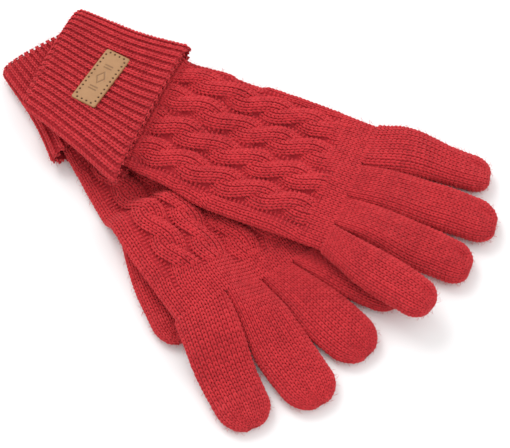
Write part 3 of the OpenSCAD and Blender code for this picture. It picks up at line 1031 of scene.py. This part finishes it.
def label_mesh():
    hu, hv = LABEL_SIZE[0] / 2, LABEL_SIZE[1] / 2
    nu, nv = 53, 145
    u, v = np.meshgrid(np.linspace(-hu, hu, nu), np.linspace(-hv, hv, nv))
    cu, cv = np.maximum(np.abs(u) - (hu - CORNER), 0), np.maximum(np.abs(v) - (hv - CORNER), 0)
    beyond = np.maximum(np.hypot(cu, cv) / CORNER, 1)
    u = np.sign(u) * (np.minimum(np.abs(u), hu - CORNER) + cu / beyond)
    v = np.sign(v) * (np.minimum(np.abs(v), hv - CORNER) + cv / beyond)
    rim = np.minimum(CORNER - np.hypot(cu / beyond, cv / beyond), 0.6) / 0.6
    z = LABEL_T - 0.35 * (1 - rim) ** 2
    pit = np.zeros_like(z)
    for hole_u, hole_v, _ in label_holes():
        pit = np.maximum(pit, np.exp(-((np.hypot(u - hole_u, v - hole_v) / HOLE_R) ** 4)))
    diamond = np.abs(np.abs(u) / 2.2 + np.abs(v) / 3.6 - 1) * 2.2
    nearest_bar = np.minimum(np.abs(np.abs(v) - 6.4), np.abs(np.abs(v) - 8.0))
    bars = np.hypot(np.maximum(np.abs(u) - 2.0, 0), nearest_bar)
    mark = 1 - ease((np.minimum(diamond, bars) - 0.22) / 0.25)
    z = z - 0.75 * pit - 0.22 * mark
    top = np.stack([u.ravel(), v.ravel(), z.ravel()], axis=1)
    index = np.arange(nu * nv).reshape(nv, nu)
    rim_loop = np.concatenate([index[0, :-1], index[:-1, -1], index[-1, :0:-1], index[:0:-1, 0]])
    low = top[rim_loop] * [1, 1, 0]
    points = to_row("upper", on_label(np.vstack([top, low])))
    quads = np.stack([index[:-1, :-1], index[:-1, 1:], index[1:, 1:], index[1:, :-1]], axis=-1)
    faces = [tuple(int(k) for k in quad) for quad in flat(quads)]
    n = len(rim_loop)
    for k in range(n):
        here, after = int(rim_loop[k]), int(rim_loop[(k + 1) % n])
        faces.append((after, here, nu * nv + k, nu * nv + (k + 1) % n))
    faces.append(tuple(nu * nv + k for k in range(n))[::-1])
    mesh = bpy.data.meshes.new("upper_label_leather")
    mesh.from_pydata([tuple(p) for p in points], [], faces)
    shade = mesh.attributes.new("pressed", "FLOAT", "POINT")
    # Holes get the full number, which paints shade into them; the pressed mark gets less and is only
    # darkened.
    pressed = np.concatenate([np.maximum(pit, 0.45 * mark).ravel(), np.zeros(n)])
    shade.data.foreach_set("value", pressed.astype(np.float32))
    mesh.polygons.foreach_set("use_smooth", [True] * len(mesh.polygons))
    return mesh


print("the label has", len(label_holes()), "needle holes")

# %% [markdown]
# ## Leather and thread
# Leather reflects a soft shine over a cloudy tan, so its roughness is middling and a noise mixes two browns.
# The number kept on the points darkens the pressed mark and paints shade into the holes.
# Thread is smoother and darker, with painted shade between its plies.

# %% Leather and thread materials


def leather():
    """Tanned leather: a fine pore bump, cloudy tan dye and a soft waxy shine; painted shade in the holes."""
    material = bpy.data.materials.new("vegetable_tanned_leather")
    material.use_nodes = True
    tree = material.node_tree
    shader = tree.nodes["Principled BSDF"]
    shader.inputs["Roughness"].default_value = 0.55
    shader.inputs["IOR"].default_value = 1.5
    place = add(tree, "ShaderNodeTexCoord")
    cloud = add(tree, "ShaderNodeTexNoise", Scale=180.0, Detail=4.0,
                inputs={"Vector": place.outputs["Object"]})
    pores = add(tree, "ShaderNodeTexVoronoi", Scale=2600.0, inputs={"Vector": place.outputs["Object"]})
    pressed = add(tree, "ShaderNodeAttribute", {"attribute_name": "pressed"})
    tan = mixed(tree, cloud.outputs["Fac"], linear("#93683f"), linear("#ac8054"))
    # Painted shade: the holes turn dark brown; the pressed mark is darkened less.
    tan_with_pressed_and_hole_shade = mixed(tree, pressed.outputs["Fac"], tan, linear("#3a2212"))
    tree.links.new(tan_with_pressed_and_hole_shade, shader.inputs["Base Color"])
    bump = add(tree, "ShaderNodeBump", Strength=0.35, Distance=0.0001,
               inputs={"Height": pores.outputs["Distance"]})
    tree.links.new(bump.outputs[0], shader.inputs["Normal"])
    return material


def waxed_thread():
    """Brown waxed linen: smoother than wool, with a slanting ply ridge along each stitch and painted shade
    between plies.
    """
    material = bpy.data.materials.new("waxed_linen_thread")
    material.use_nodes = True
    tree = material.node_tree
    shader = tree.nodes["Principled BSDF"]
    shader.inputs["Roughness"].default_value = 0.5
    place = add(tree, "ShaderNodeTexCoord")
    ply = add(tree, "ShaderNodeTexWave", {"wave_type": "BANDS", "bands_direction": "DIAGONAL"}, Scale=900.0,
              Distortion=1.0, inputs={"Vector": place.outputs["Object"]})
    # Painted shade: darker in the grooves between the plies and lighter on their ridges, on the same wave as
    # the bump.
    shade = mixed(tree, ply.outputs["Fac"], linear("#3a2215"), linear("#5c3a24"))
    tree.links.new(shade, shader.inputs["Base Color"])
    bump = add(tree, "ShaderNodeBump", Strength=0.4, Distance=0.00005, inputs={"Height": ply.outputs["Fac"]})
    tree.links.new(bump.outputs[0], shader.inputs["Normal"])
    return material


tanned = leather()
waxed = waxed_thread()
print("label materials:", tanned.name, "and", waxed.name)

# %% [markdown]
# ## The label's stitches
# A stitch of thread lies in each hole, along the edge that it holds. It is the same kind of strand as a leg
# of a knit stitch. Both meshes ride on the palm's body, because the cuff moves with it.

# %% Sew the label on


def thread_mesh():
    """A short stitch down in each hole: a five-sided strand 1.3 mm long."""
    verts, faces = [], []
    for u, v, along_v in label_holes():
        centres = [(0, -0.65, 0), (0, -0.4, 0.12), (0, 0, 0.2), (0, 0.4, 0.12), (0, 0.65, 0)]
        shape, shape_faces, _ = strand(centres, [(0.17, 0.15), (0.2, 0.17), (0.17, 0.15)], (1.0, 0.0))
        shape = np.array(shape)
        if not along_v:
            shape = shape[:, [1, 0, 2]] * [-1, 1, 1]
        start = len(verts)
        verts += [tuple(p) for p in shape + [u, v, LABEL_T - 0.25]]
        faces += [tuple(start + i for i in f) for f in shape_faces]
    mesh = bpy.data.meshes.new("upper_label_thread")
    points = to_row("upper", on_label(np.array(verts)))
    mesh.from_pydata([tuple(p) for p in points], [], faces)
    mesh.polygons.foreach_set("use_smooth", [True] * len(mesh.polygons))
    return mesh


for node, make, material, slot in (("upper_label", label_mesh, tanned, "label_leather"),
                                   ("upper_label_stitches", thread_mesh, waxed, "label_thread")):
    mesh = make()
    mesh.materials.append(material)
    piece = bpy.data.objects.new(mesh.name, mesh)
    scene.collection.objects.link(piece)
    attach(piece, "upper_palm")
    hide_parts(node)
    print(mesh.name, "has", len(mesh.polygons), "faces")

# %% [markdown]
# ## Knit every piece
# A glove is knitted as its tubes: four fingers, a thumb, the hand and the two layers of the cuff. The index
# finger and the thumb stop short, and their ends are knitted on as pieces of their own from the conductive
# yarn. The palm is a piece apart from the back, but they share one skin, which goes with the back.

# %% Knit them
pieces = {}
for g in GLOVES:
    for digit_name in DIGITS:
        d = finger(g, DIGITS.index(digit_name))
        if digit_name == "index":
            cut = d["len"] - TIP_LEN
            pieces[g, "index_finger"] = digit_piece(f"{g}_index_finger_knit", d, wool_knit, 0.0, cut)
            pieces[g, "index_touch_tip"] = digit_piece(f"{g}_index_touch_tip_knit", d, wool_touch, cut)
        else:
            pieces[g, f"{digit_name}_finger"] = digit_piece(f"{g}_{digit_name}_finger_knit", d, wool_knit)
    d = thumb(g)
    cut = d["len"] - TIP_LEN
    pieces[g, "thumb"] = digit_piece(f"{g}_thumb_knit", d, wool_knit, 0.0, cut)
    pieces[g, "thumb_touch_tip"] = digit_piece(f"{g}_thumb_touch_tip_knit", d, wool_touch, cut)

    stops = np.linspace(-CUFF_SLIP[g] - HAND_TUCK, HAND_LEN, SKIN_ROUNDS)
    columns = int(2 * (GLOVES[g]["hand_w"] + HAND_H) / SKIN_POINT)
    outside = sweep(hand_ring(g, RELIEF, True), stops, columns)
    lining_stops = np.linspace(stops[0], stops[-1], LINING_ROUNDS)
    inside = sweep(hand_ring(g, RELIEF + SKIN_T, False), lining_stops, columns)[::-1]
    chain = np.concatenate([outside, inside])
    skin = skin_mesh(f"{g}_hand_skin", g, chain, True, np.arange(len(chain)) < len(outside) - 1)
    back, palm = hand_stitches(g)
    pieces[g, "hand"] = knit(f"{g}_back_of_hand_knit", g, skin, back, wool_knit,
                             HAIRS_PER_M2 * BACK_SHARE)
    empty_skin = bpy.data.meshes.new("no_skin")
    pieces[g, "palm"] = knit(f"{g}_palm_knit", g, empty_skin, palm, wool_knit)

    skin, stitches = cuff_piece(g)
    pieces[g, "turned_cuff"] = knit(f"{g}_turned_cuff_knit", g, skin, stitches, wool_rib)
    skin, stitches = wrist_rib_piece(g)
    pieces[g, "wrist_rib"] = knit(f"{g}_wrist_rib_knit", g, skin, stitches, wool_rib, hairs=0.0)

# %% [markdown]
# ## Hand each piece to its body
# A piece that keeps its shape rides on one body: the hand, the palm and the two layers of the cuff ride on
# the palm's body, and each touch tip rides on its digit's. The finger and thumb pieces stay where they are,
# with their transforms baked into their meshes. The plain solid of the frame that a piece stands in for is
# hidden.


for (g, part), piece in pieces.items():
    palm_body = f"{g}_palm"
    node = f"{g}_hand" if part in ("hand", "palm") else f"{g}_{part}"
    digit_name = part.split("_")[0]
    if part in ("hand", "palm", "turned_cuff", "wrist_rib"):
        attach(piece, palm_body)
    elif part.endswith("touch_tip"):
        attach(piece, f"{g}_{digit_name}")
    else:
        d = thumb(g) if digit_name == "thumb" else finger(g, DIGITS.index(digit_name))
        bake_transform(piece)
    if part != "palm":
        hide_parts(node)
print(len(pieces), "knitted pieces on their bodies")

# %% [markdown]
# ## Camera
# The camera stands 0.8 m away, looks down at 60 degrees and is turned 23 degrees round the gloves. A long
# lens keeps the far cuff nearly as large as the near fingertips, as in a catalogue picture.

# %% Camera
VIEW_TURN = math.radians(23)
VIEW_TILT = math.radians(60)
VIEW_DISTANCE = 0.8
aim = Vector((0.0617, -0.0103, 0.0))
back_way = Vector((-math.sin(VIEW_TURN), math.cos(VIEW_TURN), 0.0))
camera_data = bpy.data.cameras.new("camera")
camera = bpy.data.objects.new("camera", camera_data)
scene.collection.objects.link(camera)
level_way = -back_way * VIEW_DISTANCE * math.cos(VIEW_TILT)
camera.location = aim + level_way + Vector((0, 0, VIEW_DISTANCE * math.sin(VIEW_TILT)))
camera.rotation_euler = (aim - camera.location).to_track_quat("-Z", "Y").to_euler()
camera_data.sensor_width = 36.0
camera_data.lens = 36.0 * 1600 / 510
scene.camera = camera
print("camera at", [round(v, 2) for v in camera.location], "m")

# %% [markdown]
# ## Floor and light
# A matt pale floor and a bright sky give the even light of a studio. A large key light behind and to the
# left draws short soft shadows to the front, which show the relief of the cables, and a weaker fill from the
# right keeps them open. The Standard view transform shows a bright dyed red as it is, without dulling it.

# %% Floor and light
scene.view_settings.view_transform = "Standard"
floor_mesh = bpy.data.meshes.new("floor")
corners = [(-3, -3, -0.0002), (3, -3, -0.0002), (3, 3, -0.0002), (-3, 3, -0.0002)]
floor_mesh.from_pydata(corners, [], [(0, 1, 2, 3)])
floor = bpy.data.objects.new("floor", floor_mesh)
scene.collection.objects.link(floor)
floor_material = bpy.data.materials.new("white_paper_sweep")
floor_material.use_nodes = True
floor_shader = floor_material.node_tree.nodes["Principled BSDF"]
floor_shader.inputs["Base Color"].default_value = linear("#f4f4f4")
floor_shader.inputs["Roughness"].default_value = 0.9
floor_mesh.materials.append(floor_material)

world = bpy.data.worlds.new("studio")
scene.world = world
world.use_nodes = True
world.node_tree.nodes["Background"].inputs["Color"].default_value = linear("#ffffff")
world.node_tree.nodes["Background"].inputs["Strength"].default_value = 0.92


def soft_light(name, where, size, power):
    data = bpy.data.lights.new(name, "AREA")
    data.size = size
    data.energy = power
    light = bpy.data.objects.new(name, data)
    light.location = where
    light.rotation_euler = (aim - Vector(where)).to_track_quat("-Z", "Y").to_euler()
    scene.collection.objects.link(light)


right_way = Vector((math.cos(VIEW_TURN), math.sin(VIEW_TURN), 0.0))
soft_light("key", aim - right_way * 0.7 + back_way * 0.9 + Vector((0, 0, 1.3)), 0.9, 13.0)
soft_light("fill", aim + right_way * 1.0 - back_way * 0.5 + Vector((0, 0, 1.4)), 1.4, 6.0)
